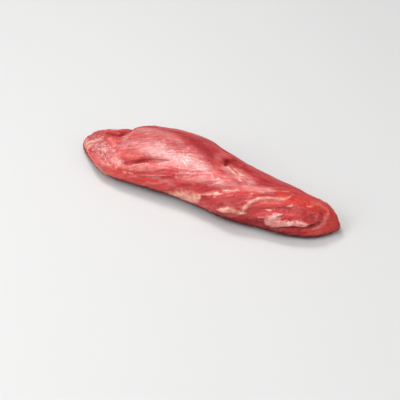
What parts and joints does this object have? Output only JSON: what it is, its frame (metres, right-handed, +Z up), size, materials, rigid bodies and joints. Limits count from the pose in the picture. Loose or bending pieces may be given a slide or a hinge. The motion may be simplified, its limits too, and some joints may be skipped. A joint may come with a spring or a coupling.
{
  "type": "raw pork tenderloin",
  "caption": "Whole raw pork tenderloin: a long trimmed muscle, broad and rounded at one end and folded under at the narrower end, lying on its flatter side.",
  "frame": {"origin": "on the ground, under the middle of the bounding box", "axes": "+X along the muscle, from the broad end to the tucked-in end; -Y towards the side with the fat; +Z up"},
  "size_m": [0.28, 0.09, 0.0446],
  "materials": {
    "flesh": "moist, red-pink, with a soft sheen"
  },
  "bodies": {
    "root": {"tenderloin": "flesh"}
  },
  "joints": []
}
